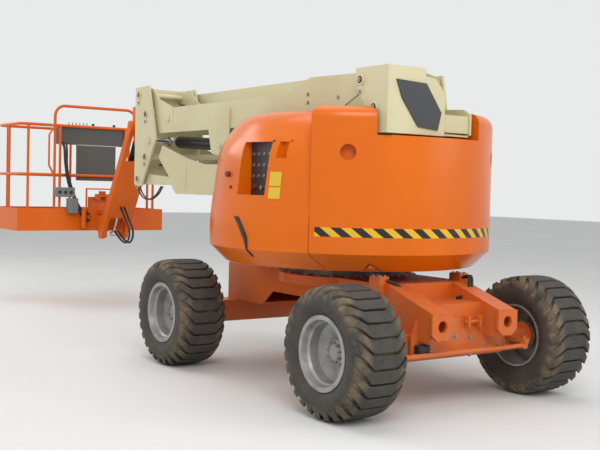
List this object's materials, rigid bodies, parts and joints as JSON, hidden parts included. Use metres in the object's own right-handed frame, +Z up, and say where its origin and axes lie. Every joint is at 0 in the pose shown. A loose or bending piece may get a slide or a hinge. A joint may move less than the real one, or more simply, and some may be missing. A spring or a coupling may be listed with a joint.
{
  "type": "articulating boom lift",
  "caption": "Self-propelled aerial work platform: rubber-tyred chassis, round slewing body, folding two-arm tower, telescoping boom, jib and railed platform.",
  "frame": {"origin": "on the ground under the slewing axis, half way between the axles", "axes": "+X forwards from the counterweight towards the platform, +Y to the left, +Z up"},
  "size_m": [7.269, 2.0998, 2.35],
  "materials": {
    "tyre": "dusty black rubber",
    "rim": "silver-grey enamel",
    "chassis_paint": "satin orange enamel",
    "bare_steel": "zinc-plated",
    "hood": "moulded panel, satin orange",
    "counterweight": "satin orange enamel",
    "frame_paint": "satin orange enamel",
    "tower_paint": "cream enamel",
    "upright_paint": "cream enamel",
    "boom_paint": "cream enamel",
    "fly_paint": "cream enamel",
    "jib_paint": "satin orange enamel",
    "cylinder_paint": "blue-black enamel",
    "rod_chrome": "hard chrome",
    "cover": "black moulding",
    "machinery": "black enamel",
    "platform_floor": "satin orange enamel",
    "rail": "satin orange enamel",
    "console": "dark grey moulding"
  },
  "bodies": {
    "chassis": {"chassis_frame": "chassis_paint", "drive_axle": "chassis_paint", "steer_axle": "chassis_paint", "slew_ring": "bare_steel"},
    "wheel_front_left": {"tyre_front_left": "tyre", "rim_front_left": "rim"},
    "wheel_front_right": {"tyre_front_right": "tyre", "rim_front_right": "rim"},
    "wheel_rear_left": {"tyre_rear_left": "tyre", "rim_rear_left": "rim"},
    "wheel_rear_right": {"tyre_rear_right": "tyre", "rim_rear_right": "rim"},
    "knuckle_left": {"knuckle_left": "chassis_paint"},
    "knuckle_right": {"knuckle_right": "chassis_paint"},
    "tie_rod": {"tie_rod": "bare_steel"},
    "turntable": {"turntable_frame": "frame_paint", "counterweight": "counterweight", "engine_block": "machinery", "oil_tank": "machinery", "valve_bank": "machinery"},
    "hood_left": {"hood_left": "hood"},
    "hood_right": {"hood_right": "hood"},
    "lower_arm": {"lower_arm": "tower_paint"},
    "lower_link": {"lower_link": "bare_steel"},
    "mid_upright": {"mid_upright": "upright_paint"},
    "upper_arm": {"upper_arm": "tower_paint", "tower_cylinder_barrel": "cylinder_paint"},
    "upper_link": {"upper_link": "bare_steel"},
    "tower_rod": {"tower_cylinder_rod": "rod_chrome"},
    "tail_upright": {"tail_upright": "upright_paint", "upright_cover": "cover"},
    "main_boom": {"main_boom": "boom_paint"},
    "lift_barrel": {"lift_cylinder_barrel": "cylinder_paint"},
    "lift_rod": {"lift_cylinder_rod": "rod_chrome"},
    "fly_boom": {"fly_boom": "fly_paint", "level_cylinder_barrel": "cylinder_paint"},
    "level_rod": {"level_cylinder_rod": "rod_chrome"},
    "jib_base": {"jib_base": "fly_paint"},
    "jib_arms": {"jib_arms": "jib_paint"},
    "jib_link": {"jib_link": "jib_paint"},
    "jib_barrel": {"jib_cylinder_barrel": "cylinder_paint"},
    "jib_rod": {"jib_cylinder_rod": "rod_chrome"},
    "platform_support": {"platform_support": "jib_paint"},
    "platform": {"platform_floor": "platform_floor", "platform_rails": "rail", "control_console": "console"}
  },
  "joints": [
    {"name": "slew", "type": "hinge", "parent": "chassis", "child": "turntable", "pos_m": [0, 0, 0.88], "axis": [0, 0, 1], "range_deg": [-177.5, 177.5]},
    {"name": "roll_front_left", "type": "hinge", "parent": "chassis", "child": "wheel_front_left", "pos_m": [1.065, 0.85, 0.419], "axis": [0, 1, 0], "continuous": true},
    {"name": "roll_front_right", "type": "hinge", "parent": "chassis", "child": "wheel_front_right", "pos_m": [1.065, -0.85, 0.419], "axis": [0, 1, 0], "continuous": true},
    {"name": "roll_rear_left", "type": "hinge", "parent": "knuckle_left", "child": "wheel_rear_left", "pos_m": [-1.065, 0.85, 0.419], "axis": [0, 1, 0], "continuous": true},
    {"name": "roll_rear_right", "type": "hinge", "parent": "knuckle_right", "child": "wheel_rear_right", "pos_m": [-1.065, -0.85, 0.419], "axis": [0, 1, 0], "continuous": true},
    {"name": "steer", "type": "hinge", "parent": "chassis", "child": "knuckle_left", "pos_m": [-1.065, 0.56, 0.419], "axis": [0, 0, 1], "range_deg": [-35, 35]},
    {"name": "steer_right", "type": "hinge", "parent": "chassis", "child": "knuckle_right", "pos_m": [-1.065, -0.56, 0.419], "axis": [0, 0, 1], "range_deg": [-35, 35]},
    {"name": "tie_slide", "type": "slide", "parent": "chassis", "child": "tie_rod", "axis": [0, 1, 0], "range_m": [-0.12145, 0.12145]},
    {"name": "hood_left_open", "type": "hinge", "parent": "turntable", "child": "hood_left", "pos_m": [0, 0.525, 1.925], "axis": [1, 0, 0], "range_deg": [0, 60]},
    {"name": "hood_right_open", "type": "hinge", "parent": "turntable", "child": "hood_right", "pos_m": [0, -0.365, 1.925], "axis": [-1, 0, 0], "range_deg": [0, 60]},
    {"name": "tower_raise", "type": "hinge", "parent": "turntable", "child": "lower_arm", "pos_m": [-0.62, 0.225, 1.44], "axis": [0, -1, 0], "range_deg": [0, 55]},
    {"name": "lower_link_turn", "type": "hinge", "parent": "turntable", "child": "lower_link", "pos_m": [-0.77, 0.225, 1.65], "axis": [0, -1, 0], "range_deg": [0, 55]},
    {"name": "mid_level", "type": "hinge", "parent": "lower_arm", "child": "mid_upright", "pos_m": [2.67, 0.225, 1.48], "axis": [0, -1, 0], "range_deg": [-55, 0]},
    {"name": "upper_arm_turn", "type": "hinge", "parent": "mid_upright", "child": "upper_arm", "pos_m": [2.67, 0.225, 2.28], "axis": [0, -1, 0], "range_deg": [-55, 0]},
    {"name": "upper_link_turn", "type": "hinge", "parent": "mid_upright", "child": "upper_link", "pos_m": [2.52, 0.225, 2.09], "axis": [0, -1, 0], "range_deg": [-55, 0]},
    {"name": "tower_rod_slide", "type": "slide", "parent": "upper_arm", "child": "tower_rod", "axis": [0.9984, 0, 0.0559], "range_m": [0, 0.45504]},
    {"name": "tail_level", "type": "hinge", "parent": "upper_arm", "child": "tail_upright", "pos_m": [-0.7, 0.225, 2.16], "axis": [0, -1, 0], "range_deg": [0, 55]},
    {"name": "boom_luff", "type": "hinge", "parent": "tail_upright", "child": "main_boom", "pos_m": [-0.6, -0.165, 2.195], "axis": [0, -1, 0], "range_deg": [0, 75]},
    {"name": "lift_barrel_turn", "type": "hinge", "parent": "tail_upright", "child": "lift_barrel", "pos_m": [-0.5, -0.165, 1.85], "axis": [0, -1, 0], "range_deg": [0, 64.48]},
    {"name": "lift_rod_slide", "type": "slide", "parent": "lift_barrel", "child": "lift_rod", "axis": [0.9827, 0, 0.185], "range_m": [0, 0.39344]},
    {"name": "fly_slide", "type": "slide", "parent": "main_boom", "child": "fly_boom", "axis": [1, 0, 0], "range_m": [0, 1.9]},
    {"name": "head_level", "type": "hinge", "parent": "fly_boom", "child": "jib_base", "pos_m": [3.78, -0.165, 2.03], "axis": [0, -1, 0], "range_deg": [-75, 0]},
    {"name": "level_rod_slide", "type": "slide", "parent": "fly_boom", "child": "level_rod", "axis": [0.984, 0, -0.1781], "range_m": [-0.19637, 0]},
    {"name": "jib_raise", "type": "hinge", "parent": "jib_base", "child": "jib_arms", "pos_m": [3.9, -0.165, 2.06], "axis": [0, -1, 0], "range_deg": [-7, 133]},
    {"name": "jib_link_turn", "type": "hinge", "parent": "jib_base", "child": "jib_link", "pos_m": [3.9, -0.165, 2.24], "axis": [0, -1, 0], "range_deg": [-7, 133]},
    {"name": "jib_barrel_turn", "type": "hinge", "parent": "jib_base", "child": "jib_barrel", "pos_m": [3.9, -0.165, 2.24], "axis": [0, -1, 0], "range_deg": [-7.16, 134.29]},
    {"name": "jib_rod_slide", "type": "slide", "parent": "jib_barrel", "child": "jib_rod", "axis": [0.4696, 0, -0.8829], "range_m": [-0.32985, 0.01831]},
    {"name": "platform_level", "type": "hinge", "parent": "jib_arms", "child": "platform_support", "pos_m": [4.642, -0.165, 0.845], "axis": [0, -1, 0], "range_deg": [-133, 7]},
    {"name": "platform_turn", "type": "hinge", "parent": "platform_support", "child": "platform", "pos_m": [4.842, -0.165, 0.845], "axis": [0, 0, 1], "range_deg": [-90, 90]}
  ],
  "couplings": [
    {"joint": "steer_right", "follows": "steer", "ratio": 1},
    {"joint": "tie_slide", "follows": "steer", "m_per_rad": -0.19718},
    {"joint": "lower_link_turn", "follows": "tower_raise", "ratio": 1},
    {"joint": "mid_level", "follows": "tower_raise", "ratio": -1},
    {"joint": "upper_arm_turn", "follows": "tower_raise", "ratio": -1},
    {"joint": "upper_link_turn", "follows": "tower_raise", "ratio": -1},
    {"joint": "tower_rod_slide", "follows": "tower_raise", "m_per_rad": 0.47299},
    {"joint": "tail_level", "follows": "tower_raise", "ratio": 1},
    {"joint": "lift_barrel_turn", "follows": "boom_luff", "ratio": 0.8584},
    {"joint": "lift_rod_slide", "follows": "boom_luff", "m_per_rad": 0.2998},
    {"joint": "head_level", "follows": "boom_luff", "ratio": -1},
    {"joint": "level_rod_slide", "follows": "boom_luff", "m_per_rad": -0.14925},
    {"joint": "jib_link_turn", "follows": "jib_raise", "ratio": 1},
    {"joint": "jib_barrel_turn", "follows": "jib_raise", "ratio": 1.0089},
    {"joint": "jib_rod_slide", "follows": "jib_raise", "m_per_rad": -0.14167},
    {"joint": "platform_level", "follows": "jib_raise", "ratio": -1}
  ]
}
